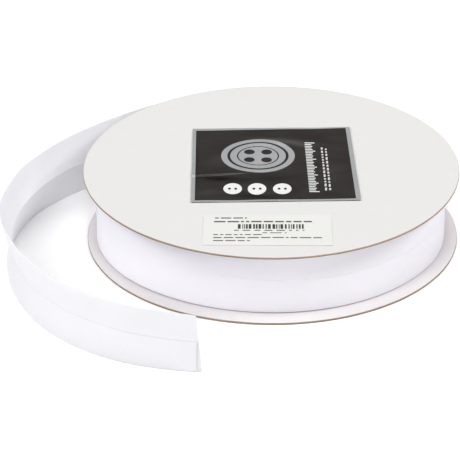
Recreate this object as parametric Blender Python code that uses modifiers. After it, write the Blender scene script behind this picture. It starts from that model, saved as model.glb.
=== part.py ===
"""Roll of folded bias tape on a reel of two card discs, with its loose end standing beside it.

Metres, +Z up. The origin is the reel's axis, on the underside of the bottom disc.
"""

import math

import bmesh
import bpy
from mathutils import Matrix, Vector

MM = 0.001
CLEAR = 0.3 * MM  # space kept between pieces

# card discs
DISC_T = 0.6 * MM
DISC_TOP_R = 54.3 * MM
DISC_BOTTOM_R = 53.7 * MM
DISC_SIDES = 176

# wound tape
TAPE_W = 20.0 * MM
WOUND_R = 48.8 * MM
WOUND_OVAL = 0.0287  # the winding is this much wider across X, and narrower across Y
WOUND_SIDES = 168
EDGE_ROUND = 0.35 * MM
MEET_HALF = 0.35 * MM  # half-height of the groove where the two folds meet
MEET_DEEP = 0.45 * MM

# loose end: base layer, space, flap
LAYER_T = 0.4 * MM
LAYER_GAP = 0.3 * MM
TAIL_H = 19.9 * MM
FLAP_GAP = 0.5 * MM  # opening between the two flaps' raw edges
FOLD_T = 0.5 * MM  # solid part of each fold, from its edge in
TAIL_STEP = 4.0 * MM

# labels
LABEL_T = 0.3 * MM
MAIN_SIZE = (47.2 * MM, 46.8 * MM)
MAIN_AT = (0.7 * MM, 2.1 * MM)
MAIN_TURN = math.radians(1.6)
INFO_SIZE = (36.2 * MM, 18.2 * MM)
INFO_AT = (-1.0 * MM, -38.6 * MM)

# heights that follow from the sizes
TAPE_Z0 = DISC_T + CLEAR
TAPE_Z1 = TAPE_Z0 + TAPE_W
TOP_DISC_Z = TAPE_Z1 + CLEAR
LABEL_Z = TOP_DISC_Z + DISC_T + CLEAR

# The loose end's stations, from where it leaves the winding to its cut end, in millimetres.
# x, y: its lower edge in plan. lift: that edge's height. crease_in: how far the middle crease
# stands towards the reel. top_out: how far the upper edge leans away from the reel.
TAIL = (
    # x,     y,     lift, crease_in, top_out
    (5.1, 48.15, 0.90, -0.2, 0.0),
    (-4.3, 49.15, 0.90, -0.1, 0.0),
    (-14.4, 49.30, 0.90, 0.0, 0.0),
    (-25.2, 47.20, 0.90, 0.1, 0.0),
    (-35.5, 43.20, 0.90, 0.3, -0.3),
    (-45.3, 37.00, 0.45, 0.6, -0.6),
    (-55.3, 29.20, 0.00, 0.9, -0.9),
    (-66.1, 17.40, 0.00, 1.6, -1.8),
    (-73.1, 3.10, 0.00, 1.9, -1.0),
    (-75.8, -12.80, 0.00, 1.5, 0.4),
    (-74.6, -28.70, 0.00, 1.2, 1.4),
    (-70.1, -43.80, 0.00, 1.0, 1.4),
    (-64.5, -54.60, 0.00, 1.1, 1.1),
    (-57.2, -63.70, 0.00, 1.2, 1.4),
    (-48.1, -71.20, 0.00, 1.1, 1.6),
    (-37.5, -76.60, 0.00, 0.5, 2.0),
    (-26.0, -79.60, 0.00, 0.0, 2.8),
    (-19.3, -80.40, 0.00, -0.5, 3.6),
)


def clear_scene():
    for o in list(bpy.data.objects):
        bpy.data.objects.remove(o, do_unlink=True)


def material(name, colour, roughness, metallic=0.0):
    m = bpy.data.materials.new(name)
    m.use_nodes = True
    shader = m.node_tree.nodes["Principled BSDF"]
    shader.inputs["Base Color"].default_value = (*colour, 1.0)
    shader.inputs["Roughness"].default_value = roughness
    shader.inputs["Metallic"].default_value = metallic
    return m


def place(obj, group, mat):
    for c in list(obj.users_collection):
        c.objects.unlink(obj)
    group.objects.link(obj)
    obj.data.materials.clear()
    obj.data.materials.append(mat)
    return obj


def disc(name, radius, z, group, mat):
    """A flat card disc with its underside at z."""
    bpy.ops.mesh.primitive_cylinder_add(
        vertices=DISC_SIDES, radius=radius, depth=DISC_T, location=(0, 0, z + DISC_T / 2)
    )
    obj = bpy.context.object
    obj.name = name
    obj.data.shade_smooth()
    obj.data.set_sharp_from_angle(angle=math.radians(30))
    return place(obj, group, mat)


def wound(name, group, mat):
    """The winding: a turned profile with rounded edges and the groove where the folds meet."""
    mid = (TAPE_Z0 + TAPE_Z1) / 2
    profile = (
        (0.0, TAPE_Z1),
        (WOUND_R - EDGE_ROUND, TAPE_Z1),
        (WOUND_R - EDGE_ROUND * 0.3, TAPE_Z1 - EDGE_ROUND * 0.3),
        (WOUND_R, TAPE_Z1 - EDGE_ROUND),
        (WOUND_R, mid + MEET_HALF),
        (WOUND_R - MEET_DEEP, mid),
        (WOUND_R, mid - MEET_HALF),
        (WOUND_R, TAPE_Z0 + EDGE_ROUND),
        (WOUND_R - EDGE_ROUND * 0.3, TAPE_Z0 + EDGE_ROUND * 0.3),
        (WOUND_R - EDGE_ROUND, TAPE_Z0),
        (0.0, TAPE_Z0),
    )
    mesh = bpy.data.meshes.new(name)
    mesh.from_pydata(
        [(x, 0.0, z) for x, z in profile], [(i, i + 1) for i in range(len(profile) - 1)], []
    )
    obj = bpy.data.objects.new(name, mesh)
    bpy.context.scene.collection.objects.link(obj)
    place(obj, group, mat)
    turn = obj.modifiers.new("turn", "SCREW")
    turn.axis = "Z"
    turn.steps = WOUND_SIDES
    turn.render_steps = WOUND_SIDES
    turn.use_merge_vertices = True
    turn.merge_threshold = 0.00001
    turn.use_smooth_shade = True
    obj.scale = (1 + WOUND_OVAL, 1 - WOUND_OVAL, 1.0)
    return obj


def smooth_rows(rows, step):
    """Rows spaced about one step apart along a Catmull-Rom curve through the given rows."""
    pts = [Vector(r) for r in rows]
    pts = [pts[0] * 2 - pts[1]] + pts + [pts[-1] * 2 - pts[-2]]
    out = []
    for i in range(1, len(pts) - 2):
        a, b, c, d = pts[i - 1 : i + 3]
        length = (c.xy - b.xy).length * MM
        n = max(1, round(length / step))
        for k in range(n):
            t = k / n
            out.append(
                0.5
                * (
                    2 * b
                    + (c - a) * t
                    + (2 * a - 5 * b + 4 * c - d) * t * t
                    + (3 * b - a - 3 * c + d) * t * t * t
                )
            )
    out.append(pts[-2])
    return out


def tail_section(lift, crease_in, top_out):
    """The folded tape's section as (outward, up) points: a base towards the reel, its two flaps
    away from it, and the opening between the flaps at the middle crease."""
    half = TAIL_H / 2
    rise_low = math.sqrt(half**2 - crease_in**2)
    rise_high = math.sqrt(half**2 - (crease_in + top_out) ** 2)
    low, mid = (0.0, lift), (-crease_in, lift + rise_low)
    high = (top_out, mid[1] + rise_high)

    def at(along, out):
        """along: distance from the crease, positive up. out: offset away from the reel."""
        end = high if along > 0 else low
        f = abs(along) / half
        return (mid[0] + (end[0] - mid[0]) * f + out, mid[1] + (end[1] - mid[1]) * f)

    inner = -(LAYER_T + LAYER_GAP / 2)
    base = -LAYER_GAP / 2
    flap = LAYER_GAP / 2
    outer = LAYER_T + LAYER_GAP / 2
    soft = 0.25 * MM
    slit = FLAP_GAP / 2
    return [
        at(-half, inner + soft),
        at(-half + soft, inner),
        at(0, inner),
        at(half - soft, inner),
        at(half, inner + soft),
        at(half, outer - soft),
        at(half - soft, outer),
        at(slit, outer),
        at(slit, flap),
        at(half - FOLD_T, flap),
        at(half - FOLD_T, base),
        at(0, base),
        at(-half + FOLD_T, base),
        at(-half + FOLD_T, flap),
        at(-slit, flap),
        at(-slit, outer),
        at(-half + soft, outer),
        at(-half, outer - soft),
    ]


def tail(name, group, mat):
    """A loft of the folded section along the loose end's path. Its sections differ in crease,
    lean and lift, so the faces between them are made here."""
    rows = smooth_rows(TAIL, TAIL_STEP)
    bm = bmesh.new()
    rings = []
    for i, row in enumerate(rows):
        before, after = rows[max(i - 1, 0)], rows[min(i + 1, len(rows) - 1)]
        along = (after.xy - before.xy).normalized()
        away = Vector((along.y, -along.x))
        x, y, lift, crease_in, top_out = row
        foot = Vector((x, y)) * MM
        ring = []
        for out, up in tail_section(max(lift, 0.0) * MM, crease_in * MM, top_out * MM):
            p = foot + away * out
            ring.append(bm.verts.new((p.x, p.y, up)))
        rings.append(ring)
    count = len(rings[0])
    for a, b in zip(rings, rings[1:]):
        for k in range(count):
            n = (k + 1) % count
            bm.faces.new((a[k], a[n], b[n], b[k]))
    bm.faces.new(rings[0])
    bm.faces.new(list(reversed(rings[-1])))
    bm.normal_update()
    bmesh.ops.triangulate(bm, faces=bm.faces[:])
    bmesh.ops.recalc_face_normals(bm, faces=bm.faces[:])
    mesh = bpy.data.meshes.new(name)
    bm.to_mesh(mesh)
    bm.free()
    obj = bpy.data.objects.new(name, mesh)
    bpy.context.scene.collection.objects.link(obj)
    mesh.shade_smooth()
    mesh.set_sharp_from_angle(angle=math.radians(35))
    return place(obj, group, mat)


def plate(name, size, at, turn, group, mat):
    """A flat label lying just above the top disc."""
    bpy.ops.mesh.primitive_cube_add(size=1.0)
    obj = bpy.context.object
    obj.name = name
    obj.data.transform(Matrix.Diagonal((size[0], size[1], LABEL_T, 1.0)))
    obj.location = (at[0], at[1], LABEL_Z + LABEL_T / 2)
    obj.rotation_euler = (0.0, 0.0, turn)
    return place(obj, group, mat)


def main():
    clear_scene()
    group = bpy.data.collections.new("bias_tape_roll")
    bpy.context.scene.collection.children.link(group)

    card_top = material("card_top", (0.83, 0.825, 0.82), 0.62)
    card_bottom = material("card_bottom", (0.80, 0.77, 0.78), 0.66)
    cotton_wound = material("cotton_wound", (0.86, 0.85, 0.90), 0.85)
    cotton_tail = material("cotton_tail", (0.88, 0.88, 0.90), 0.85)
    foil = material("black_foil", (0.035, 0.033, 0.032), 0.28, 0.0)
    paper = material("cream_paper", (0.86, 0.84, 0.79), 0.6)

    disc("flange_bottom", DISC_BOTTOM_R, 0.0, group, card_bottom)
    disc("flange_top", DISC_TOP_R, TOP_DISC_Z, group, card_top)
    wound("wound_tape", group, cotton_wound)
    tail("tape_tail", group, cotton_tail)
    plate("label_main", MAIN_SIZE, MAIN_AT, MAIN_TURN, group, foil)
    plate("label_info", INFO_SIZE, INFO_AT, 0.0, group, paper)


main()
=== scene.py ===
"""Studio scene for the roll of bias tape: two card discs, the winding, its loose end and two labels.

Lengths in the tables are millimetres in the row frame; meshes are made in metres.
"""

import math
import random

import bmesh
import bpy
import numpy as np
from mathutils import Matrix, Vector


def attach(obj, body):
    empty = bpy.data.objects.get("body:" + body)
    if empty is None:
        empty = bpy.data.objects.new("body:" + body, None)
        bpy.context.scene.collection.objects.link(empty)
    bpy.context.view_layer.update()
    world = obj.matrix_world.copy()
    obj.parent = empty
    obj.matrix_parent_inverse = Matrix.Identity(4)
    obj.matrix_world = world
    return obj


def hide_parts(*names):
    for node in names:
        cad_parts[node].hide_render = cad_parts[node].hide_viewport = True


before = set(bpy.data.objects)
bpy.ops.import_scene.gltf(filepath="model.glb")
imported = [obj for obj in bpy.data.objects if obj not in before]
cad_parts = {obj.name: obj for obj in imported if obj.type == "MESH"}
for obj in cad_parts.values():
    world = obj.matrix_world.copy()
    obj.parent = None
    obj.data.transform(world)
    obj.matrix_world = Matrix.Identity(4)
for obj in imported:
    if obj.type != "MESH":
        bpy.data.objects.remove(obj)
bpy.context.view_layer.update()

MM = 0.001
BODY = "root"

# ---------------------------------------------------------------- sizes shared with the CAD
DISC_T = 0.6
DISC_TOP_R = 54.3
DISC_BOTTOM_R = 53.7
TAPE_Z0 = 0.80  # the winding nearly fills the space between the discs
TAPE_Z1 = 21.0
TOP_Z = 21.2
TOP_FACE = TOP_Z + DISC_T
WOUND_R = 48.8
WOUND_OVAL = 0.0287
HALF = 10.0

# x, y: lower edge in plan. lift: its height. crease_in: how far the middle crease stands towards
# the reel. top_out: how far the upper edge leans away from the reel.
TAIL = (
    (5.1, 48.15, 0.90, -0.2, 0.0),
    (-4.3, 49.15, 0.90, -0.1, 0.0),
    (-14.4, 49.30, 0.90, 0.0, 0.0),
    (-25.2, 47.20, 0.90, 0.1, 0.0),
    (-35.5, 43.20, 0.90, 0.3, -0.3),
    (-45.3, 37.00, 0.45, 0.6, -0.6),
    (-55.3, 29.20, 0.00, 0.9, -0.9),
    (-66.1, 17.40, 0.00, 1.6, -1.8),
    (-73.1, 3.10, 0.00, 1.9, -1.0),
    (-75.8, -12.80, 0.00, 1.5, 0.4),
    (-74.6, -28.70, 0.00, 1.2, 1.4),
    (-70.1, -43.80, 0.00, 1.0, 1.4),
    (-64.5, -54.60, 0.00, 1.1, 1.1),
    (-57.2, -63.70, 0.00, 1.2, 1.4),
    (-48.1, -71.20, 0.00, 1.1, 1.6),
    (-37.5, -76.60, 0.00, 0.5, 2.0),
    (-26.0, -79.60, 0.00, 0.0, 2.8),
    (-19.3, -80.40, 0.00, -0.5, 3.6),
)


# ---------------------------------------------------------------- small helpers
def smooth(a, b, x):
    """0 below a, 1 above b, an even rise between."""
    t = np.clip((x - a) / (b - a), 0.0, 1.0)
    return t * t * (3 - 2 * t)


def ripple(seed, count, short, long, axes=1):
    """A smooth seeded wobble of about unit height: a sum of sines of short to long wavelength."""
    rng = random.Random(seed)
    terms = []
    for _ in range(count):
        wave = short * (long / short) ** rng.random()
        turn = rng.uniform(0, 2 * math.pi) if axes == 2 else 0.0
        terms.append(
            (
                math.cos(turn) * 2 * math.pi / wave,
                math.sin(turn) * 2 * math.pi / wave,
                rng.uniform(0, 2 * math.pi),
                rng.uniform(0.5, 1.0),
            )
        )
    size = math.sqrt(sum(t[3] ** 2 for t in terms) / 2)

    def at(x, y=0.0):
        return sum(a * np.sin(kx * x + ky * y + ph) for kx, ky, ph, a in terms) / size

    return at


def turn_ripple(seed, lowest, highest, count=6):
    """A seeded wobble round a circle that meets itself, of about unit height."""
    rng = random.Random(seed)
    terms = [
        (rng.randint(lowest, highest), rng.uniform(0, 2 * math.pi), rng.uniform(0.5, 1.0))
        for _ in range(count)
    ]
    size = math.sqrt(sum(t[2] ** 2 for t in terms) / 2)

    def at(phi):
        return sum(a * np.sin(k * phi + ph) for k, ph, a in terms) / size

    return at


def build(name, verts_mm, faces, mats, face_mats=None, uvs=None, sharp=35.0, weld=False):
    """A mesh object from points in mm, smooth-shaded with sharp edges over the given angle."""
    mesh = bpy.data.meshes.new(name)
    mesh.from_pydata([tuple(float(c) * MM for c in v) for v in verts_mm], [], faces)
    for m in mats:
        mesh.materials.append(m)
    if face_mats is not None:
        mesh.polygons.foreach_set("material_index", face_mats)
    if uvs is not None:
        layer = mesh.uv_layers.new(name="cloth")
        flat = np.empty((len(mesh.loops), 2), np.float32)
        i = 0
        for face_uv in uvs:
            for u, v in face_uv:
                flat[i] = (u, v)
                i += 1
        layer.data.foreach_set("uv", flat.ravel())
    bm = bmesh.new()
    bm.from_mesh(mesh)
    if weld:
        bmesh.ops.remove_doubles(bm, verts=bm.verts[:], dist=2e-6)
    bmesh.ops.recalc_face_normals(bm, faces=bm.faces[:])
    bm.to_mesh(mesh)
    bm.free()
    mesh.shade_smooth()
    mesh.set_sharp_from_angle(angle=math.radians(sharp))
    obj = bpy.data.objects.new(name, mesh)
    bpy.context.scene.collection.objects.link(obj)
    return obj


# ---------------------------------------------------------------- materials
class Nodes:
    """A few words for wiring a Principled material."""

    def __init__(self, name, colour, roughness, **sockets):
        self.mat = bpy.data.materials.new(name)
        self.mat.use_nodes = True
        self.tree = self.mat.node_tree
        self.shader = self.tree.nodes["Principled BSDF"]
        self.set("Base Color", (*colour, 1.0))
        self.set("Roughness", roughness)
        for key, value in sockets.items():
            self.set(key.replace("_", " "), value)

    def set(self, socket, value):
        self.shader.inputs[socket].default_value = value

    def node(self, kind, **settings):
        n = self.tree.nodes.new(kind)
        for k, v in settings.items():
            setattr(n, k, v)
        return n

    def link(self, a, b):
        self.tree.links.new(a, b)

    def math(self, op, a, b=None, clamp=False):
        n = self.node("ShaderNodeMath", operation=op, use_clamp=clamp)
        for i, x in enumerate((a, b)):
            if x is None:
                continue
            if isinstance(x, (int, float)):
                n.inputs[i].default_value = x
            else:
                self.link(x, n.inputs[i])
        return n.outputs[0]

    def coords(self, scale=(1000.0, 1000.0, 1000.0), uv=None):
        """The object's own coordinates, or a UV map's, times scale: 1000 makes them millimetres."""
        if uv:
            src = self.node("ShaderNodeUVMap", uv_map=uv).outputs["UV"]
        else:
            src = self.node("ShaderNodeTexCoord").outputs["Object"]
        n = self.node("ShaderNodeVectorMath", operation="MULTIPLY")
        self.link(src, n.inputs[0])
        n.inputs[1].default_value = scale
        return n.outputs[0]

    def noise(self, vector, scale, detail=3.0, rough=0.55, seed=0.0):
        n = self.node("ShaderNodeTexNoise", noise_dimensions="4D")
        self.link(vector, n.inputs["Vector"])
        n.inputs["W"].default_value = seed
        n.inputs["Scale"].default_value = scale
        n.inputs["Detail"].default_value = detail
        n.inputs["Roughness"].default_value = rough
        return n.outputs[0]

    def span(self, value, lo, hi, to_lo, to_hi):
        n = self.node("ShaderNodeMapRange")
        self.link(value, n.inputs["Value"])
        for k, v in (("From Min", lo), ("From Max", hi), ("To Min", to_lo), ("To Max", to_hi)):
            n.inputs[k].default_value = v
        return n.outputs["Result"]

    def mix(self, factor, a, b):
        n = self.node("ShaderNodeMix", data_type="RGBA")
        self.link(factor, n.inputs[0])
        for i, c in ((6, a), (7, b)):
            if isinstance(c, tuple):
                n.inputs[i].default_value = (*c, 1.0)
            else:
                self.link(c, n.inputs[i])
        return n.outputs[2]

    def lobe(self, vector, at, size, turn, gain):
        """A soft oval patch, gain at its middle: at and size in mm, turned in degrees."""
        n = self.node("ShaderNodeMapping", vector_type="TEXTURE")
        self.link(vector, n.inputs["Vector"])
        n.inputs["Location"].default_value = (*at, 0.0)
        n.inputs["Rotation"].default_value = (0.0, 0.0, math.radians(turn))
        n.inputs["Scale"].default_value = (*size, 10000.0)
        dot = self.node("ShaderNodeVectorMath", operation="DOT_PRODUCT")
        self.link(n.outputs[0], dot.inputs[0])
        self.link(n.outputs[0], dot.inputs[1])
        away = self.math("MULTIPLY", dot.outputs["Value"], -1.0)
        return self.math("MULTIPLY", self.math("EXPONENT", away), gain)

    def bump(self, height, strength, distance_mm, before=None):
        n = self.node("ShaderNodeBump")
        self.link(height, n.inputs["Height"])
        n.inputs["Strength"].default_value = strength
        n.inputs["Distance"].default_value = distance_mm * MM
        if before is not None:
            self.link(before, n.inputs["Normal"])
        return n.outputs["Normal"]

    def wire(self, colour=None, roughness=None, normal=None):
        for name, out in (("Base Color", colour), ("Roughness", roughness), ("Normal", normal)):
            if out is not None:
                self.link(out, self.shader.inputs[name])
        return self.mat


def cotton(name, light, shade, seed, light_drift=None):
    """Fine plain-weave cotton cut on the bias: its threads run at 45 degrees to the tape. The last argument,
    (axis, from mm, to mm, gain, gain), is painted light and shade: it makes the cloth brighter at one end and
    darker at the other."""
    m = Nodes(
        name,
        light,
        0.88,
        Sheen_Weight=0.12,
        Sheen_Roughness=0.45,
        Sheen_Tint=(0.95, 0.95, 1.0, 1.0),
        Specular_IOR_Level=0.2,
    )
    at = m.coords(uv="cloth")
    sep = m.node("ShaderNodeSeparateXYZ")
    m.link(at, sep.inputs[0])
    u, v = sep.outputs[0], sep.outputs[1]
    pitch = 0.34
    k = math.pi / (pitch * math.sqrt(2))
    p = m.math("SINE", m.math("MULTIPLY", m.math("ADD", u, v), k))
    q = m.math("SINE", m.math("MULTIPLY", m.math("SUBTRACT", u, v), k))
    over = m.math("GREATER_THAN", m.math("MULTIPLY", p, q), 0.0)
    warp, weft = m.math("ABSOLUTE", p), m.math("ABSOLUTE", q)
    pick = m.node("ShaderNodeMix", data_type="FLOAT")
    m.link(over, pick.inputs[0])
    m.link(warp, pick.inputs[2])
    m.link(weft, pick.inputs[3])
    weave = pick.outputs[0]
    # slubs: long soft streaks along each thread direction
    streaks = []
    for turn, s in ((45.0, seed), (-45.0, seed + 7.0)):
        rot = m.node("ShaderNodeVectorRotate", rotation_type="Z_AXIS")
        m.link(at, rot.inputs["Vector"])
        rot.inputs["Angle"].default_value = math.radians(turn)
        sq = m.node("ShaderNodeVectorMath", operation="MULTIPLY")
        m.link(rot.outputs[0], sq.inputs[0])
        sq.inputs[1].default_value = (0.22, 2.1, 1.0)
        streaks.append(m.noise(sq.outputs[0], 1.0, 3.0, 0.6, s))
    slub = m.math("MULTIPLY", m.math("ADD", streaks[0], streaks[1]), 0.5)
    cloud = m.noise(m.coords(), 0.11, 3.0, 0.5, seed + 3.0)
    tone = m.math(
        "ADD", m.math("MULTIPLY", m.span(slub, 0.36, 0.64, 0.0, 1.0), 0.55), m.math("MULTIPLY", cloud, 0.45)
    )
    tone = m.math("ADD", tone, m.math("MULTIPLY", m.math("SUBTRACT", 1.0, weave), 0.18), clamp=True)
    colour = m.mix(tone, light, shade)
    # painted light and shade: the colour is scaled by a gain that changes across the object
    if light_drift:
        axis, start, end, first, last = light_drift
        place = m.node("ShaderNodeSeparateXYZ")
        m.link(m.coords(), place.inputs[0])
        ends = [m.mix(tone, *[tuple(c * gain for c in col) for col in (light, shade)]) for gain in (first, last)]
        colour = m.mix(m.span(place.outputs[axis], start, end, 0.0, 1.0), *ends)
    rough = m.span(slub, 0.3, 0.7, 0.82, 0.95)
    n = m.bump(slub, 0.35, 0.05)
    n = m.bump(weave, 0.45, 0.045, n)
    return m.wire(colour, rough, n)


def card_face(name, light, shade, seed, specks=0.0, tape_contact_shade=None):
    """Coated card: nearly even, with faint clouds and short fibres. Its last argument is a painted
    shade colour, darker and purplish where the card meets the winding."""
    m = Nodes(name, light, 0.6, Specular_IOR_Level=0.35)
    at = m.coords()
    cloud = m.noise(at, 0.07, 4.0, 0.6, seed)
    fibre_at = m.coords((420.0, 1500.0, 1000.0))
    fibre = m.noise(fibre_at, 1.1, 4.0, 0.65, seed + 2.0)
    fine = m.noise(at, 2.4, 2.0, 0.5, seed + 5.0)
    tone = m.math(
        "ADD",
        m.math("MULTIPLY", m.span(cloud, 0.3, 0.7, 0.0, 1.0), 0.6),
        m.math("MULTIPLY", m.span(fibre, 0.35, 0.7, 0.0, 1.0), 0.4),
        clamp=True,
    )
    colour = m.mix(tone, light, shade)
    if specks:
        spot = m.noise(at, 0.9, 1.0, 0.3, seed + 9.0)
        colour = m.mix(
            m.span(spot, 0.72, 0.80, 0.0, specks), colour, tuple(c * 0.8 for c in shade)
        )
    # painted shade: the card turns darker and purplish within about 3 mm of the winding
    if tape_contact_shade:
        oval = m.coords((1000.0 / (1 + WOUND_OVAL), 1000.0 / (1 - WOUND_OVAL), 0.0))
        away = m.node("ShaderNodeVectorMath", operation="LENGTH")
        m.link(oval, away.inputs[0])
        colour = m.mix(m.span(away.outputs["Value"], 49.4, 52.4, 0.38, 0.0), colour, tape_contact_shade)
    rough = m.span(cloud, 0.3, 0.7, 0.52, 0.68)
    n = m.bump(fibre, 0.2, 0.02)
    n = m.bump(fine, 0.15, 0.012, n)
    return m.wire(colour, rough, n)


def card_edge(name, light, dark, z_mid, seed):
    """The cut edge of brown board: plies as thin level streaks, with painted shade darkening it towards the
    underside.
    """
    m = Nodes(name, light, 0.9, Specular_IOR_Level=0.15)
    at = m.coords()
    ply_at = m.coords((160.0, 160.0, 5200.0))
    ply = m.noise(ply_at, 1.0, 4.0, 0.65, seed)
    grit = m.noise(at, 3.2, 3.0, 0.6, seed + 1.0)
    sep = m.node("ShaderNodeSeparateXYZ")
    m.link(at, sep.inputs[0])
    # painted shade: the edge darkens towards its underside, where the shadow under the disc's rim falls
    low = m.span(sep.outputs[2], z_mid + 0.16, z_mid - 0.22, 0.0, 0.55)
    tone = m.math(
        "ADD",
        m.math("MULTIPLY", m.span(ply, 0.35, 0.65, 0.0, 1.0), 0.3),
        m.math("MULTIPLY", m.span(grit, 0.35, 0.65, 0.0, 1.0), 0.2),
    )
    tone = m.math("ADD", tone, low, clamp=True)
    colour = m.mix(tone, light, dark)
    n = m.bump(ply, 0.4, 0.05)
    n = m.bump(grit, 0.3, 0.04, n)
    return m.wire(colour, None, n)


# painted sheen: soft grey patches along the film's swellings; painted shade: near black patches in its hollows.
# centre, half-size, turn, gain
SHEEN_PATCHES = (
    ((2.4, 16.6), (7.2, 1.5), -9.0, 0.75),
    ((9.5, 13.6), (3.0, 1.3), -28.0, 0.30),
    ((-15.3, 4.2), (3.2, 3.6), 0.0, 0.16),
    ((-18.2, -16.4), (3.4, 2.2), 6.0, 0.22),
    ((18.0, -3.0), (3.0, 8.0), 12.0, 0.14),
)
SHADE_PATCHES = (
    ((-15.2, -7.2), (7.8, 1.6), -8.0, 1.0),
    ((0.6, -7.4), (6.4, 1.9), 0.0, 0.50),
    ((-3.9, -18.1), (5.6, 1.1), 0.0, 0.75),
    ((-22.0, 2.0), (0.9, 14.0), 0.0, 0.45),
)


def foil_black(name):
    """Black coated label film: a soft sheen that its relief breaks up, with painted grey sheen on its swellings and
    painted shade in its hollows.
    """
    m = Nodes(name, (0.022, 0.020, 0.019), 0.36, IOR=1.40)
    at = m.coords()
    haze = m.noise(at, 0.09, 4.0, 0.6, 11.0)
    scuff = m.noise(m.coords((240.0, 900.0, 1000.0)), 0.6, 5.0, 0.7, 12.0)
    tone = m.math(
        "MULTIPLY", m.span(haze, 0.35, 0.7, 0.0, 1.0), m.span(scuff, 0.35, 0.75, 0.3, 1.0), clamp=True
    )
    colour = m.mix(tone, (0.0195, 0.0165, 0.0150), (0.0320, 0.0300, 0.0282))
    # painted sheen: grey patches along the swellings, thinned by the random scuffs; painted shade: near black
    # patches in the hollows
    painted_sheen, painted_shade = None, None
    for spot in SHEEN_PATCHES:
        one = m.lobe(at, *spot)
        painted_sheen = one if painted_sheen is None else m.math("ADD", painted_sheen, one, clamp=True)
    for spot in SHADE_PATCHES:
        one = m.lobe(at, *spot)
        painted_shade = one if painted_shade is None else m.math("ADD", painted_shade, one, clamp=True)
    colour = m.mix(m.math("MULTIPLY", painted_sheen, m.span(scuff, 0.3, 0.7, 0.75, 1.0)), colour, (0.085, 0.082, 0.079))
    colour = m.mix(painted_shade, colour, (0.0015, 0.0010, 0.0010))
    rough = m.span(scuff, 0.3, 0.7, 0.30, 0.44)
    n = m.bump(haze, 0.25, 0.15)
    n = m.bump(m.noise(at, 1.6, 3.0, 0.5, 14.0), 0.12, 0.02, n)
    return m.wire(colour, rough, n)


def foil_silver(name, colour, metallic):
    m = Nodes(name, colour, 0.46, Metallic=metallic)
    at = m.coords()
    grain = m.noise(at, 1.5, 4.0, 0.7, 21.0)
    cloud = m.noise(at, 0.14, 3.0, 0.55, 22.0)
    tone = m.math(
        "ADD",
        m.math("MULTIPLY", m.span(grain, 0.35, 0.65, 0.0, 1.0), 0.5),
        m.math("MULTIPLY", m.span(cloud, 0.35, 0.65, 0.0, 1.0), 0.5),
        clamp=True,
    )
    mixed = m.mix(tone, colour, tuple(c * 0.86 for c in colour))
    return m.wire(mixed, m.span(grain, 0.3, 0.7, 0.40, 0.54), m.bump(grain, 0.2, 0.02))


def ink(name, colour, roughness, spread, seed):
    """Printed ink, a little uneven where the paper or film took less of it."""
    m = Nodes(name, colour, roughness, Specular_IOR_Level=0.35)
    at = m.coords()
    patch = m.noise(at, 2.6, 3.0, 0.6, seed)
    other = tuple(c * (1 - spread) + spread * 0.45 for c in colour)
    return m.wire(m.mix(m.span(patch, 0.45, 0.75, 0.0, 1.0), colour, other), None, m.bump(patch, 0.1, 0.01))


def paper(name, light, shade, seed):
    m = Nodes(name, light, 0.55, Specular_IOR_Level=0.4)
    at = m.coords()
    cloud = m.noise(at, 0.2, 4.0, 0.6, seed)
    grain = m.noise(at, 2.2, 3.0, 0.6, seed + 1.0)
    tone = m.math(
        "ADD",
        m.math("MULTIPLY", m.span(cloud, 0.35, 0.65, 0.0, 1.0), 0.6),
        m.math("MULTIPLY", m.span(grain, 0.35, 0.65, 0.0, 1.0), 0.4),
        clamp=True,
    )
    return m.wire(m.mix(tone, light, shade), m.span(grain, 0.3, 0.7, 0.5, 0.62), m.bump(grain, 0.15, 0.015))


MAT = {
    # the last numbers of wound and tail are painted light and shade: gains that brighten one side of the cloth and
    # darken the other
    "wound": cotton("cotton_wound", (0.7983, 0.7836, 0.8259), (0.7615, 0.7450, 0.7891), 1.0, (0, -48.0, 48.0, 1.045, 0.955)),
    "tail": cotton("cotton_tail", (0.7533, 0.7533, 0.7730), (0.7193, 0.7184, 0.7408), 5.0, (1, -40.0, 20.0, 0.99, 1.055)),
    "face": card_face("card_face", (0.5987, 0.5935, 0.5816), (0.5797, 0.5739, 0.5607), 31.0, 0.25),
    # the last colour of card_inner is painted shade, purplish and darker where the card meets the winding
    "inner": card_face("card_inner", (0.6966, 0.6807, 0.6807), (0.6657, 0.6489, 0.6517), 37.0, tape_contact_shade=(0.575, 0.500, 0.555)),
    "under": card_face("card_under", (0.600, 0.590, 0.572), (0.570, 0.558, 0.538), 41.0, 0.4),
    "edge_top": card_edge("card_edge_top", (0.425, 0.312, 0.234), (0.160, 0.116, 0.087), TOP_Z + 0.3, 51.0),
    "edge_bottom": card_edge("card_edge_bottom", (0.36, 0.270, 0.205), (0.150, 0.113, 0.092), 0.3, 57.0),
    "black": foil_black("label_black"),
    "silver": foil_silver("label_silver", (0.3920, 0.3981, 0.4030), 0.35),
    "silver_print": foil_silver("label_silver_print", (0.3979, 0.4055, 0.4131), 0.35),
    "white_ink": ink("label_white_ink", (0.6459, 0.6459, 0.6412), 0.5, 0.10, 61.0),
    "dull_ink": ink("label_fine_ink", (0.5225, 0.5225, 0.5177), 0.5, 0.12, 62.0),
    "paper": paper("sticker_paper", (0.6222, 0.6260, 0.5985), (0.6080, 0.6117, 0.5813), 71.0),
    "dark_ink": ink("sticker_ink", (0.0808, 0.0779, 0.0741), 0.6, 0.06, 63.0),
    "bar_ink": ink("sticker_bar_ink", (0.022, 0.021, 0.021), 0.6, 0.03, 64.0),
}


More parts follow.
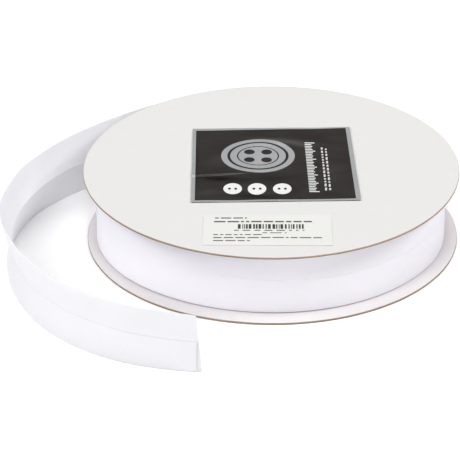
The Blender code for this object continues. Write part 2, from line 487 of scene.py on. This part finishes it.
# ---------------------------------------------------------------- card discs
def card_disc(name, radius, z0, up_mat, down_mat, edge_mat, seed, shift=(0.0, 0.0), stretch=0.0):
    """A die-cut card disc: rounded rims, a rough brown edge, and very slightly wavy faces. It sits
    shift off the axis, and stretch is how far its front is out of round."""
    n = 288
    edge = 0.09
    wave = turn_ripple(seed, 2, 5, 4)
    rim = turn_ripple(seed + 1, 9, 40, 10)
    phi = np.arange(n) * 2 * math.pi / n
    radii = [5.0, 11.0, 17.0, 23.0, 29.0, 35.0, 41.0, 46.0, 50.0, radius - 2.0, radius - 0.7]
    top = [(r, DISC_T) for r in radii] + [
        (radius - edge, DISC_T),
        (radius - edge * 0.35, DISC_T - edge * 0.3),
        (radius, DISC_T - edge),
    ]
    side = [(radius + 0.015, DISC_T * 0.66), (radius, DISC_T * 0.5), (radius + 0.012, DISC_T * 0.34)]
    bottom = [(radius, edge), (radius - edge * 0.35, edge * 0.3), (radius - edge, 0.0)] + [
        (r, 0.0) for r in reversed(radii)
    ]
    rows = top + side + bottom
    verts, faces, mats = [], [], []
    for r, z in rows:
        near = r / radius
        lift = 0.05 * wave(phi) * near**3
        rough = 0.012 * rim(phi) if near > 0.985 else 0.0 * phi
        turned = (phi + math.radians(75) + math.pi) % (2 * math.pi) - math.pi
        front = stretch * near**4 * np.exp(-((turned / 0.8) ** 2))
        for k in range(n):
            at = r + rough[k] + front[k]
            verts.append(
                (
                    shift[0] + at * math.cos(phi[k]),
                    shift[1] + at * math.sin(phi[k]),
                    max(z0 + z + lift[k], 0.0),
                )
            )
    first, last = len(verts), len(verts) + 1
    verts += [(shift[0], shift[1], z0 + DISC_T), (shift[0], shift[1], z0)]
    ring = len(rows)
    a, b = len(top), len(top) + len(side)
    for j in range(ring - 1):
        kind = 0 if j < a - 3 else (1 if j >= b + 2 else 2)
        for k in range(n):
            m = (k + 1) % n
            faces.append((j * n + k, j * n + m, (j + 1) * n + m, (j + 1) * n + k))
            mats.append(kind)
    for k in range(n):
        m = (k + 1) % n
        faces.append((first, m, k))
        mats.append(0)
        faces.append((last, (ring - 1) * n + k, (ring - 1) * n + m))
        mats.append(1)
    obj = build(name, verts, faces, [up_mat, down_mat, edge_mat], mats, sharp=40)
    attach(obj, BODY)
    return obj


disc_bottom = card_disc(
    "card_disc_bottom",
    DISC_BOTTOM_R,
    0.0,
    MAT["inner"],
    MAT["under"],
    MAT["edge_bottom"],
    101,
    shift=(0.35, -0.35),
)
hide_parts("flange_bottom")
disc_top = card_disc(
    "card_disc_top",
    DISC_TOP_R,
    TOP_Z,
    MAT["face"],
    MAT["inner"],
    MAT["edge_top"],
    111,
    stretch=0.6,
)
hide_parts("flange_top")


# ---------------------------------------------------------------- the winding
START = math.atan2(48.15 / (1 - WOUND_OVAL), 5.1 / (1 + WOUND_OVAL))


def wound_tape():
    """The winding. Its last turn shows two folded flaps that meet at a wavy middle line, and at
    the back it rises to the thickness of the loose end that leaves it. Its ends show the turns."""
    n = 420
    phi = START + np.arange(n + 1) * 2 * math.pi / n
    turned = np.arange(n + 1) / n  # 0 where the loose end leaves, 1 at the same place a turn on
    meet = turn_ripple(201, 2, 6, 5)
    fine = turn_ripple(202, 7, 23, 8)
    pucker = turn_ripple(203, 11, 34, 10)
    upper = turn_ripple(204, 3, 13, 6)
    mid = (TAPE_Z0 + TAPE_Z1) / 2 + 0.28 * meet(phi) + 0.06 * fine(phi)
    gap = 0.022 + 0.008 * fine(phi)
    # the bare turn under the loose end is one tape thickness lower than the last turn beside it
    rise = 0.45 * smooth(0.0, 0.14, turned) + 0.60 * smooth(0.74, 1.0, turned) ** 1.6
    # it is a little out of round at the front
    front = (phi + math.radians(82) + math.pi) % (2 * math.pi) - math.pi
    rise = rise - 0.05 + 0.72 * np.exp(-((front / 0.55) ** 2))
    rise = rise - 0.22 * smooth(0.45, 0.85, front) * (1 - smooth(1.6, 2.2, front))
    rise = rise + 0.15 * smooth(0.75, 1.1, -front) * (1 - smooth(1.6, 2.0, -front))
    swell = 0.035 * pucker(phi)
    lean = 0.03 * upper(phi)
    # the flaps lie close together at the left and part slightly round the front and right
    open_ = 0.12 + 0.42 * smooth(math.radians(-45), math.radians(5), front)
    rows = []  # each: (radial offset, height, along-the-section distance) arrays over phi

    def row(off, z):
        rows.append((off + 0 * phi, z + 0 * phi))

    # upper end face: turns 0.95 mm thick, seen edge on
    turns = 7
    inner_r = -turns * 0.95
    row(np.full(n + 1, -WOUND_R + 4.0), TAPE_Z1 - 0.12)
    row(np.full(n + 1, -24.0), TAPE_Z1 - 0.12)
    row(np.full(n + 1, inner_r - 0.6), TAPE_Z1 - 0.12)
    for t in range(turns):
        base = inner_r + t * 0.95 + rise * (t + 1) / turns - turned * 0.0
        for f, dz in ((0.12, -0.34), (0.3, -0.06), (0.5, 0.0), (0.7, -0.06), (0.88, -0.34)):
            if t == turns - 1 and f > 0.5:
                break
            row(base + f * 0.95, TAPE_Z1 + dz - 0.03 * (t % 2))
    r = 0.26
    for a in (68, 45, 22, 0):
        row(rise - r + r * math.cos(math.radians(a)), TAPE_Z1 - r + r * math.sin(math.radians(a)))
    # upper flap, from its fold down to its raw edge
    for f in (0.08, 0.18, 0.32, 0.46, 0.6, 0.74, 0.86, 0.94):
        z = (TAPE_Z1 - r) * (1 - f) + (mid + gap + 0.25) * f
        row(rise + (swell + lean) * math.sin(math.pi * f) + 0.05 * math.sin(math.pi * f / 2), z)
    row(rise + 0.05 - 0.010 * open_, mid + gap + 0.14)
    row(rise + 0.05 - 0.04 * open_, mid + gap + 0.04)
    row(rise + 0.05 - 0.12 * open_, mid + gap)
    row(rise + 0.05 - 0.15 * open_, mid)
    row(rise + 0.05 - 0.12 * open_, mid - gap)
    row(rise + 0.05 - 0.04 * open_, mid - gap - 0.04)
    row(rise + 0.05 - 0.010 * open_, mid - gap - 0.14)
    for f in (0.06, 0.14, 0.26, 0.4, 0.54, 0.68, 0.82, 0.92):
        z = (mid - gap - 0.25) * (1 - f) + (TAPE_Z0 + r) * f
        row(rise + (swell - lean) * math.sin(math.pi * f) + 0.05 * math.cos(math.pi * f / 2), z)
    for a in (0, 22, 45, 68):
        row(rise - r + r * math.cos(math.radians(a)), TAPE_Z0 + r - r * math.sin(math.radians(a)))
    for t in reversed(range(turns)):
        base = inner_r + t * 0.95 + rise * (t + 1) / turns
        for f, dz in ((0.88, 0.34), (0.7, 0.06), (0.5, 0.0), (0.3, 0.06), (0.12, 0.34)):
            if t == turns - 1 and f > 0.5:
                continue
            row(base + f * 0.95, TAPE_Z0 + dz + 0.03 * (t % 2))
    row(np.full(n + 1, inner_r - 0.6), TAPE_Z0 + 0.12)
    row(np.full(n + 1, -24.0), TAPE_Z0 + 0.12)
    row(np.full(n + 1, -WOUND_R + 4.0), TAPE_Z0 + 0.12)

    cx, cy = np.cos(phi), np.sin(phi)
    verts, along = [], []
    run = 0.0
    for j, (off, z) in enumerate(rows):
        x = (WOUND_R + off) * (1 + WOUND_OVAL) * cx
        y = (WOUND_R + off) * (1 - WOUND_OVAL) * cy
        if j:
            run += math.hypot(
                float(np.mean(off) - np.mean(rows[j - 1][0])), float(np.mean(z) - np.mean(rows[j - 1][1]))
            )
        along.append(run)
        verts += list(zip(x, y, z))
    w = n + 1
    faces, uvs = [], []
    arc = np.arange(w) * 2 * math.pi * WOUND_R / n
    for j in range(len(rows) - 1):
        for k in range(n):
            faces.append((j * w + k, j * w + k + 1, (j + 1) * w + k + 1, (j + 1) * w + k))
            uvs.append(
                [
                    (arc[k] * MM, along[j] * MM),
                    (arc[k + 1] * MM, along[j] * MM),
                    (arc[k + 1] * MM, along[j + 1] * MM),
                    (arc[k] * MM, along[j + 1] * MM),
                ]
            )
        # the step where the loose end leaves; it closes to nothing on the inner turns
        faces.append((j * w + n, j * w, (j + 1) * w, (j + 1) * w + n))
        uvs.append([(0, along[j] * MM), (0.001, along[j] * MM), (0.001, along[j + 1] * MM), (0, along[j + 1] * MM)])
    centre = len(verts)
    verts += [(0, 0, TAPE_Z1 - 0.12), (0, 0, TAPE_Z0 + 0.12)]
    last = (len(rows) - 1) * w
    for k in range(n):
        faces.append((centre, k + 1, k))
        uvs.append([(0, 0), (0.001, 0), (0, 0.001)])
        faces.append((centre + 1, last + k, last + k + 1))
        uvs.append([(0, 0), (0.001, 0), (0, 0.001)])
    obj = build("tape_winding", verts, faces, [MAT["wound"]], None, uvs, sharp=50, weld=True)
    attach(obj, BODY)
    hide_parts("wound_tape")
    return obj


winding = wound_tape()


# ---------------------------------------------------------------- the loose end
def path_rows(step):
    """Rows spaced about one step apart along a Catmull-Rom curve through TAIL, with their arc length."""
    pts = [np.array(r, float) for r in TAIL]
    pts = [pts[0] * 2 - pts[1]] + pts + [pts[-1] * 2 - pts[-2]]
    out = []
    for i in range(1, len(pts) - 2):
        a, b, c, d = pts[i - 1 : i + 3]
        n = max(1, round(float(np.hypot(*(c - b)[:2])) / step))
        for k in range(n):
            t = k / n
            out.append(
                0.5
                * (
                    2 * b
                    + (c - a) * t
                    + (2 * a - 5 * b + 4 * c - d) * t * t
                    + (3 * b - a - 3 * c + d) * t * t * t
                )
            )
    out.append(pts[-2])
    out = np.array(out)
    out[:, 2] = np.maximum(out[:, 2], 0.0)
    run = np.concatenate([[0.0], np.cumsum(np.hypot(*np.diff(out[:, :2], axis=0).T))])
    return out, run


def tape_section():
    """The folded tape's closed section as (distance up from the middle, offset away from the reel,
    layer). layer: 0 base, 1 lower flap, 2 upper flap."""
    pts = []
    r = 0.5
    for a in (-60, -30, 0, 30, 60):
        s, c = math.sin(math.radians(a)), math.cos(math.radians(a))
        pts.append((-HALF + r - r * c, 0.53 * s, 0 if a < 0 else 1))
    for y in (-9.3, -8.6, -7.4, -6.0, -4.6, -3.2, -2.0, -1.1, -0.55):
        pts.append((y, 0.53 + 0.07 * math.sin(math.pi * (y + HALF) / HALF), 1))
    pts += [(-0.22, 0.52, 1), (-0.06, 0.47, 1), (-0.03, 0.40, 1), (-0.03, 0.20, 1), (-0.3, 0.15, 1)]
    for y in (-2.0, -4.5, -7.0, -8.8):
        pts.append((y, 0.13, 1))
    pts += [(-9.35, 0.09, 1), (-9.45, 0.0, 0), (-9.35, -0.09, 0)]
    for y in (-8.8, -7.0, -4.5, -2.0, 0.0, 2.0, 4.5, 7.0, 8.8):
        pts.append((y, -0.13, 0))
    pts += [(9.35, -0.09, 0), (9.45, 0.0, 0), (9.35, 0.09, 2)]
    for y in (8.8, 7.0, 4.5, 2.0):
        pts.append((y, 0.13, 2))
    pts += [(0.3, 0.15, 2), (0.03, 0.20, 2), (0.03, 0.40, 2), (0.06, 0.47, 2), (0.22, 0.52, 2)]
    for y in (0.55, 1.1, 2.0, 3.2, 4.6, 6.0, 7.4, 8.6, 9.3):
        pts.append((y, 0.53 + 0.07 * math.sin(math.pi * (HALF - y) / HALF), 2))
    for a in (60, 30, 0, -30, -60):
        s, c = math.sin(math.radians(a)), math.cos(math.radians(a))
        pts.append((HALF - r + r * c, 0.53 * s, 0))
    for y in (9.3, 8.6, 7.4, 6.0, 4.6, 3.2, 2.2, 1.4, 0.8, 0.4, 0.15, 0.0, -0.15, -0.4, -0.8, -1.4, -2.2, -3.2, -4.6, -6.0, -7.4, -8.6, -9.3):
        pts.append((y, -0.53 - 0.20 * math.exp(-((y / 0.42) ** 2)), 0))
    # pressed thinner at the two folds
    return [(u, o * 0.72 * (1 - 0.42 * float(smooth(7.5, 9.6, abs(u)))), layer) for u, o, layer in pts]


LIP = 0.53 * 0.72  # the flaps' outer face at the raw edges


def end_reach(y, layer):
    """How far past the nominal cut each part of the section runs, in mm. The cut isn't square, so
    the lower half of the base shows beyond the flap folded over it."""
    t = y / HALF
    if layer == 2 or t >= 0.02:
        return -0.45 - 0.25 * t
    if layer == 1:
        fold = max(0.0, (-t - 0.9) / 0.1)
        return (-0.85 - 0.25 * (-t)) * (1 - fold) + 0.25 * fold
    return -0.35 + 0.75 * max(0.0, -t) ** 0.8


def loose_end():
    rows, run = path_rows(0.85)
    length = float(run[-1])
    section = tape_section()
    soft = 0.5 + 3.6 * smooth(92.0, 128.0, run)
    flat_wave = ripple(301, 7, 14.0, 46.0)
    low_wave = ripple(302, 7, 12.0, 40.0)
    top_edge = ripple(303, 8, 9.0, 34.0)
    slit_wave = ripple(304, 9, 5.0, 30.0)
    x, y = rows[:, 0], rows[:, 1]
    tx, ty = np.gradient(x), np.gradient(y)
    size = np.hypot(tx, ty)
    tx, ty = tx / size, ty / size
    lift, crease, out = rows[:, 2], rows[:, 3], rows[:, 4]
    out = out + 0.85 * smooth(24.0, 60.0, run) * (1 - smooth(118.0, 145.0, run))
    free = smooth(0.0, 30.0, run)  # the wobbles start once the tape has left the winding
    rise_low = np.sqrt(HALF**2 - crease**2)
    rise_high = np.sqrt(HALF**2 - (crease + out) ** 2)
    low = np.stack([0 * lift, lift], 1)
    mid = np.stack([-crease, lift + rise_low], 1)
    high = np.stack([out, mid[:, 1] + rise_high], 1)
    d_low, d_high = (mid - low) / HALF, (high - mid) / HALF
    stations = len(rows)
    verts = np.empty((len(section), stations, 3))
    uv = np.empty((len(section), stations, 2))
    around = 0.0
    for j, (up, off, layer) in enumerate(section):
        if j:
            around += math.hypot(up - section[j - 1][0], off - section[j - 1][1])
        a = up
        sm = np.where(a > soft, a, np.where(a < -soft, 0.0, (a + soft) ** 2 / (4 * soft)))
        sm = sm[:, None]
        ds = np.clip((a + soft) / (2 * soft), 0, 1)[:, None]
        pos = mid + d_low * (a - sm) + d_high * sm
        tan = d_low * (1 - ds) + d_high * ds
        tan = tan / np.hypot(tan[:, 0], tan[:, 1])[:, None]
        o = off + 0 * run
        if layer and abs(up) < 0.3 and off > 0.25:
            # the raw edges lie tight together until the front, where they part unevenly
            part = 0.10 + smooth(128.0, 152.0, run) * (0.30 + 0.24 * slit_wave(run))
            o = LIP + (o - LIP) * np.clip(part, 0.1, 1.0)
        px = pos[:, 0] + tan[:, 1] * o
        pz = pos[:, 1] - tan[:, 0] * o
        # long soft waves out of the plane, and an uneven upper edge
        t = up / HALF
        px = px + free * (0.10 * flat_wave(run) * max(t, 0) ** 1.5 + 0.05 * low_wave(run) * (1 - abs(t)))
        pz = pz + free * 0.05 * top_edge(run) * smooth(0.2, 1.0, np.array(t))
        # the small diagonal wrinkle on the outside, left of the front
        s0 = run - 138.5
        across = s0 * 0.92 + (up + 1.3) * 0.38
        down = (up + 1.3) * 0.92 - s0 * 0.38
        if layer == 1 and off > 0.25:
            px = px + 0.20 * np.exp(-((across / 0.55) ** 2) - (down / 1.5) ** 2)
        shift = end_reach(up, layer) * smooth(length - 7.0, length, run)
        if layer and abs(up) < 0.2:
            shift = shift + 0 * run
        verts[j, :, 0] = x + ty * px + tx * shift
        verts[j, :, 1] = y - tx * px + ty * shift
        verts[j, :, 2] = np.maximum(pz, 0.0)
        uv[j, :, 0] = (run + shift) * MM
        uv[j, :, 1] = around * MM
    around += 1.0
    count = len(section)
    flat_verts = verts.reshape(-1, 3)
    faces, uvs = [], []
    for j in range(count):
        n = (j + 1) % count
        v_end = around * MM if n == 0 else uv[n, 0, 1]
        for k in range(stations - 1):
            faces.append((j * stations + k, n * stations + k, n * stations + k + 1, j * stations + k + 1))
            uvs.append(
                [
                    (uv[j, k, 0], uv[j, k, 1]),
                    (uv[n, k, 0], v_end),
                    (uv[n, k + 1, 0], v_end),
                    (uv[j, k + 1, 0], uv[j, k + 1, 1]),
                ]
            )
    # caps: the section is a ribbon folded on itself, so it closes as strips between facing points
    lower = [i for i, p in enumerate(section) if True]
    for k, flip in ((0, False), (stations - 1, True)):
        for quad in cap_strips(section):
            f = [i * stations + k for i in (reversed(quad) if flip else quad)]
            faces.append(tuple(f))
            uvs.append([(uv[i // stations, k, 0], uv[i // stations, k, 1]) for i in f])
    obj = build("tape_loose_end", flat_verts, faces, [MAT["tail"]], None, uvs, sharp=50)
    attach(obj, BODY)
    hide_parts("tape_tail")
    return obj


def cap_strips(section):
    """Faces that close the section's end, made by ear clipping the closed outline."""
    pts = [Vector((o, u)) for u, o, _ in section]
    left = list(range(len(pts)))
    area = sum(
        pts[i].x * pts[(i + 1) % len(pts)].y - pts[(i + 1) % len(pts)].x * pts[i].y for i in range(len(pts))
    )
    sign = 1.0 if area > 0 else -1.0

    def cross(a, b, c):
        return ((b.x - a.x) * (c.y - a.y) - (b.y - a.y) * (c.x - a.x)) * sign

    out = []
    guard = 0
    while len(left) > 3 and guard < 20000:
        guard += 1
        best = None
        for n in range(len(left)):
            i, j, k = left[n - 1], left[n], left[(n + 1) % len(left)]
            a, b, c = pts[i], pts[j], pts[k]
            turn = cross(a, b, c)
            if turn <= 1e-12:
                continue
            inside = any(
                cross(a, b, pts[m]) >= -1e-12 and cross(b, c, pts[m]) >= -1e-12 and cross(c, a, pts[m]) >= -1e-12
                for m in left
                if m not in (i, j, k)
            )
            if inside:
                continue
            longest = max((a - b).length, (b - c).length, (c - a).length)
            score = turn / (longest**2)
            if best is None or score > best[0]:
                best = (score, n, (i, j, k))
        if best is None:
            break
        out.append(best[2])
        left.pop(best[1])
    if len(left) == 3:
        out.append(tuple(left))
    return out


tail = loose_end()


# ---------------------------------------------------------------- labels
label_wave = ripple(401, 9, 9.0, 24.0, axes=2)
sticker_wave = ripple(402, 7, 7.0, 20.0, axes=2)


def label_height(x, y):
    """The film's height over the disc, in mm: a pressed crease from its left edge, a broad swelling
    at the upper right, a dent at the lower middle, and small waves."""
    ax, ay, bx, by = -23.2, -5.5, -4.2, -3.3
    lx, ly = bx - ax, by - ay
    size = math.hypot(lx, ly)
    q = ((x - ax) * lx + (y - ay) * ly) / size**2
    d = ((y - ay) * lx - (x - ax) * ly) / size
    fade = 1 - smooth(0.45, 1.1, q)
    above = np.exp(-np.maximum(d, 0) / 1.9)
    below = np.where(d < 0, smooth(-0.8, 0.0, d) * 1.15 - 0.15 * smooth(-4.5, -0.8, d), 1.0)
    ridge = 0.26 * fade * np.where(d >= 0, above, below)
    sx, sy = 6.2, 16.6
    arc = sy - 0.018 * (x - sx) ** 2
    swell = 0.20 * np.exp(-(((y - arc) / 2.4) ** 2)) * np.exp(-(((x - sx) / 11.0) ** 2))
    ux, uy = 0.89, -0.455
    p = (x + 4.6) * ux + (y + 16.8) * uy
    r = -(x + 4.6) * uy + (y + 16.8) * ux
    dent = -0.20 * np.exp(-((p / 6.0) ** 2) - (r / 1.7) ** 2)
    return np.maximum(0.30 + 0.035 * label_wave(x, y) + ridge + swell + dent, 0.06)


def sticker_height(x, y):
    return 0.11 + 0.012 * sticker_wave(x, y) + 0.03 * smooth(14.0, 18.0, np.abs(x + 1.0))


def quad_sheet(name, corners, height, over, mat, nu, nv, thickness=None, rounding=0.0):
    """A four-cornered film that follows height(x, y) + over, closed underneath.
    corners: back left, back right, front right, front left, in mm."""
    bl, br, fr, fl = [np.array(c, float) for c in corners]
    verts, faces = [], []
    us, vs = np.linspace(0, 1, nu + 1), np.linspace(0, 1, nv + 1)
    grid = {}
    for b, layer in enumerate(("top", "low")):
        for j, v in enumerate(vs):
            for i, u in enumerate(us):
                p = (bl * (1 - u) + br * u) * (1 - v) + (fl * (1 - u) + fr * u) * v
                h = float(height(p[0], p[1])) + over
                z = TOP_FACE + (h if layer == "top" else h - thickness)
                grid[b, i, j] = len(verts)
                verts.append((p[0], p[1], z))
    for j in range(nv):
        for i in range(nu):
            faces.append((grid[0, i, j], grid[0, i, j + 1], grid[0, i + 1, j + 1], grid[0, i + 1, j]))
            faces.append((grid[1, i, j], grid[1, i + 1, j], grid[1, i + 1, j + 1], grid[1, i, j + 1]))
    for i in range(nu):
        faces.append((grid[0, i, 0], grid[0, i + 1, 0], grid[1, i + 1, 0], grid[1, i, 0]))
        faces.append((grid[0, i + 1, nv], grid[0, i, nv], grid[1, i, nv], grid[1, i + 1, nv]))
    for j in range(nv):
        faces.append((grid[0, 0, j + 1], grid[0, 0, j], grid[1, 0, j], grid[1, 0, j + 1]))
        faces.append((grid[0, nu, j], grid[0, nu, j + 1], grid[1, nu, j + 1], grid[1, nu, j]))
    return build(name, verts, faces, [mat], None, sharp=60)


def patches(name, parts, height, over, mat, thickness=0.03):
    """Printed shapes as one closed mesh. Each part is a list of rings of (x, y) points in mm, from
    its inside out; a part whose first ring has one point is filled to that point."""
    verts, faces = [], []
    for rings in parts:
        layers = []
        for lower in (0.0, thickness):
            index = []
            for ring in rings:
                ids = []
                for x, y in ring:
                    ids.append(len(verts))
                    verts.append((x, y, TOP_FACE + float(height(x, y)) + over - lower))
                index.append(ids)
            layers.append(index)
        for which, index in enumerate(layers):
            for a, b in zip(index, index[1:]):
                n = len(b)
                for k in range(n):
                    m = (k + 1) % n
                    f = (a[0], b[k], b[m]) if len(a) == 1 else (a[k], b[k], b[m], a[m])
                    faces.append(f if which == 0 else tuple(reversed(f)))
        top, low = layers
        n = len(top[-1])
        for k in range(n):
            m = (k + 1) % n
            faces.append((top[-1][k], low[-1][k], low[-1][m], top[-1][m]))
            if len(top[0]) > 1:
                faces.append((top[0][m], low[0][m], low[0][k], top[0][k]))
    return build(name, verts, faces, [mat], None, sharp=60)


def ring_part(cx, cy, inner, outer, steps, n=72, squash=1.0):
    """A ring, or with inner 0 a disc, as rings of points. inner and outer: mm or functions of the angle."""
    f_in = inner if callable(inner) else (lambda a: inner)
    f_out = outer if callable(outer) else (lambda a: outer)
    rings = []
    start = 0
    if inner == 0:
        rings.append([(cx, cy)])
        start = 1
    for s in range(start, steps + 1):
        t = s / steps
        ring = []
        for k in range(n):
            a = 2 * math.pi * k / n
            r = f_in(a) * (1 - t) + f_out(a) * t
            ring.append((cx + r * math.cos(a), cy + r * math.sin(a) * squash))
        rings.append(ring)
    return rings


def bar_part(cx, cy, w, h, corner=0.2, turn=0.0):
    """A bar with rounded corners, w by h mm about its middle."""
    corner = min(corner, w / 2 - 1e-3, h / 2 - 1e-3)
    outline = []
    for qx, qy, a0 in ((1, 1, 0), (-1, 1, 90), (-1, -1, 180), (1, -1, 270)):
        for a in (0, 30, 60, 90):
            t = math.radians(a0 + a)
            outline.append(
                (
                    qx * (w / 2 - corner) + corner * math.cos(t),
                    qy * (h / 2 - corner) + corner * math.sin(t),
                )
            )
    # add points along the long sides so that the bar follows the relief
    dense = []
    for (x0, y0), (x1, y1) in zip(outline, outline[1:] + outline[:1]):
        n = max(1, int(math.hypot(x1 - x0, y1 - y0) / 0.8))
        dense += [(x0 + (x1 - x0) * i / n, y0 + (y1 - y0) * i / n) for i in range(n)]
    c, s = math.cos(turn), math.sin(turn)
    place = lambda x, y: (cx + x * c - y * s, cy + x * s + y * c)
    spine = [(x * (1 - min(1, min(w, h) / max(w, h))) if w >= h else x * 0.02, y * 0.02 if w >= h else y * (1 - min(1, min(w, h) / max(w, h)))) for x, y in dense]
    return [[place(x, y) for x, y in spine], [place(x, y) for x, y in dense]]


LABEL_OUTER = ((-23.0, 24.9), (23.1, 26.0), (25.6, -20.6), (-22.8, -22.0))
LABEL_INNER = ((-22.0, 23.5), (21.9, 25.2), (24.2, -19.7), (-21.7, -21.0))

backing = quad_sheet("label_backing", LABEL_OUTER, label_height, 0.0, MAT["silver"], 96, 210, thickness=0.05)
panel = quad_sheet("label_panel", LABEL_INNER, label_height, 0.035, MAT["black"], 110, 210, thickness=0.03)

# a four-hole button in place of the maker's mark
BX, BY, BR = -3.8, 7.1, 10.7
button = [
    ring_part(BX, BY, 8.9, BR, 3, 96),
    ring_part(BX, BY, 0, 8.1, 10, 96),
]
holes = [ring_part(BX + dx, BY + dy, 0, 1.55, 3, 32) for dx in (-2.5, 2.5) for dy in (-2.5, 2.5)]
inner_groove = [ring_part(BX, BY, 5.75, 6.1, 1, 96)]
silver_art = patches("label_silver_art", button, label_height, 0.06, MAT["silver_print"])
hole_art = patches("label_button_holes", holes + inner_groove, label_height, 0.08, MAT["black"])

# three small two-hole buttons
SPOTS = (-11.0, -4.0, 3.2)
marks = [ring_part(x, -13.7, 0, 2.65, 4, 48, squash=1.28) for x in SPOTS]
mark_art = patches("label_white_marks", marks, label_height, 0.06, MAT["white_ink"])
pins = [ring_part(x + dx, -13.7, 0, 0.42, 2, 20, squash=1.4) for x in SPOTS for dx in (-0.9, 0.9)]
pin_art = patches("label_mark_holes", pins, label_height, 0.08, MAT["black"])

# an upright tape-measure scale and two rows of running stitch in place of the lines of text
ticks, small = [], []
y, i = 15.2, 0
while y > -16.4:
    x = 9.75 + (15.3 - y) * (1.25 / 31.8)
    w = 2.9 if i % 5 == 0 else (1.9 if i % 2 else 2.2)
    ticks.append(bar_part(x + w / 2, y, w, 0.50, 0.12))
    y -= 1.02
    i += 1
for side in (0, 1):
    rng = random.Random(77 + side)
    y = 12.5 - 0.7 * side
    while y > -14.6:
        long = rng.choice((0.9, 1.3, 1.7))
        x = 14.75 + 1.15 * side + (12.5 - y) * (1.05 / 27.2)
        small.append(bar_part(x, y - long / 2, 0.55, long, 0.18))
        y -= long + 0.75
tick_art = patches("label_ticks", ticks, label_height, 0.06, MAT["white_ink"])
small_art = patches("label_stitches", small, label_height, 0.06, MAT["dull_ink"])

STICKER = ((-19.0, -29.5), (17.0, -29.4), (17.2, -47.8), (-19.2, -47.5))
sticker = quad_sheet("sticker_sheet", STICKER, sticker_height, 0.0, MAT["paper"], 60, 32, thickness=0.07)


def dash_line(x0, x1, y, tall, seed, gap=0.55):
    """A row of short dashes of uneven length, where the sticker has a line of small print."""
    r = random.Random(seed)
    out = []
    x = x0
    while x < x1 - 0.5:
        w = min(r.uniform(0.7, 3.4), x1 - x)
        out.append(bar_part(x + w / 2, y, w, tall, 0.15))
        x += w + gap
    return out


lines = (
    dash_line(-15.8, -6.8, -31.3, 0.62, 1)
    + dash_line(-16.1, 11.5, -33.5, 0.78, 2)
    + dash_line(-10.4, 9.4, -38.75, 0.50, 3, 1.1)
    + dash_line(-2.4, 4.4, -40.25, 0.45, 8, 0.8)
    + dash_line(-16.2, -2.6, -41.35, 0.50, 4)
    + dash_line(-16.2, 14.8, -43.1, 0.55, 5)
    + dash_line(-16.2, -5.9, -44.9, 0.52, 6)
)
bars = []
rng = random.Random(5150)
x = -9.3
while x < 9.2:
    w = rng.choice((0.25, 0.35, 0.5, 0.75, 0.9))
    bars.append(bar_part(x + w / 2, -36.45, w, 2.75, 0.03))
    x += w + rng.choice((0.26, 0.36, 0.5))
line_art = patches("sticker_lines", lines, sticker_height, 0.025, MAT["dark_ink"])
bar_art = patches("sticker_bars", bars, sticker_height, 0.025, MAT["bar_ink"])

for piece, slot in (
    (backing, "black_foil"),
    (panel, "black_foil"),
    (silver_art, "black_foil"),
    (hole_art, "black_foil"),
    (mark_art, "black_foil"),
    (pin_art, "black_foil"),
    (tick_art, "black_foil"),
    (small_art, "black_foil"),
    (sticker, "cream_paper"),
    (line_art, "cream_paper"),
    (bar_art, "cream_paper"),
):
    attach(piece, BODY)
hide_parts("label_main")
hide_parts("label_info")


# ---------------------------------------------------------------- floor, light and camera
scene = bpy.context.scene
scene.view_settings.view_transform = "Standard"
scene.view_settings.look = "None"
scene.view_settings.exposure = 0.0
scene.view_settings.gamma = 1.0

floor_mesh = bpy.data.meshes.new("floor")
size = 6.0
floor_mesh.from_pydata(
    [(-size, -size, 0), (size, -size, 0), (size, size, 0), (-size, size, 0)], [], [(0, 1, 2, 3)]
)
floor = bpy.data.objects.new("floor", floor_mesh)
floor.location.z = -0.00006
scene.collection.objects.link(floor)
pale = Nodes("pale_floor", (0.97, 0.97, 0.97), 0.9, Specular_IOR_Level=0.1)
floor_mesh.materials.append(pale.mat)

# a bright studio: wide soft lamps round the object and a little light from everywhere.
# turn: 0 from the camera's side, 90 from the right. rise: above the horizon.
world = bpy.data.worlds.new("studio")
scene.world = world
world.use_nodes = True
back = world.node_tree.nodes["Background"]
back.inputs["Strength"].default_value = 0.02
back.inputs["Color"].default_value = (1.0, 1.0, 1.0, 1.0)

LAMPS = (
    # turn, rise, strength
    (0, 25, 0.180),
    (0, 62, 0.279),
    (60, 50, 0.085),
    (91, 42, 0.580),
    (180, 62, 0.185),
    (215, 60, 0.090),
    (262, 25, 0.165),
    (270, 42, 0.300),
    (330, 42, 0.241),
)
for i, (turn, rise, strength) in enumerate(LAMPS):
    light = bpy.data.lights.new(f"lamp_{i}", "SUN")
    light.energy = math.pi * strength
    light.angle = math.radians(24)
    lamp = bpy.data.objects.new(f"lamp_{i}", light)
    scene.collection.objects.link(lamp)
    a, e = math.radians(turn), math.radians(rise)
    toward = Vector((math.sin(a) * math.cos(e), -math.cos(a) * math.cos(e), math.sin(e)))
    lamp.rotation_mode = "QUATERNION"
    lamp.rotation_quaternion = (-toward).to_track_quat("-Z", "Y")

# the camera's place and turn, as fitted to the photograph
D, ELEV = 1.2, 0.487088124
C = np.array([0.0, -D * math.cos(ELEV), D * math.sin(ELEV)])
forward = np.array([-0.00996474, 0.8841855, -0.46702967])
right = np.array([0.99995019, 0.0090733, -0.00415769])
above = np.array([-5.61335164e-04, 0.467047839, 0.884231871])
cam_data = bpy.data.cameras.new("camera")
cam = bpy.data.objects.new("camera", cam_data)
scene.collection.objects.link(cam)
cam_data.sensor_width = 36.0
cam_data.lens = 322.1645
cam_data.clip_start, cam_data.clip_end = 0.05, 20.0
cam.matrix_world = Matrix(
    [
        [right[0], above[0], -forward[0], C[0]],
        [right[1], above[1], -forward[1], C[1]],
        [right[2], above[2], -forward[2], C[2]],
        [0, 0, 0, 1],
    ]
)
scene.camera = cam
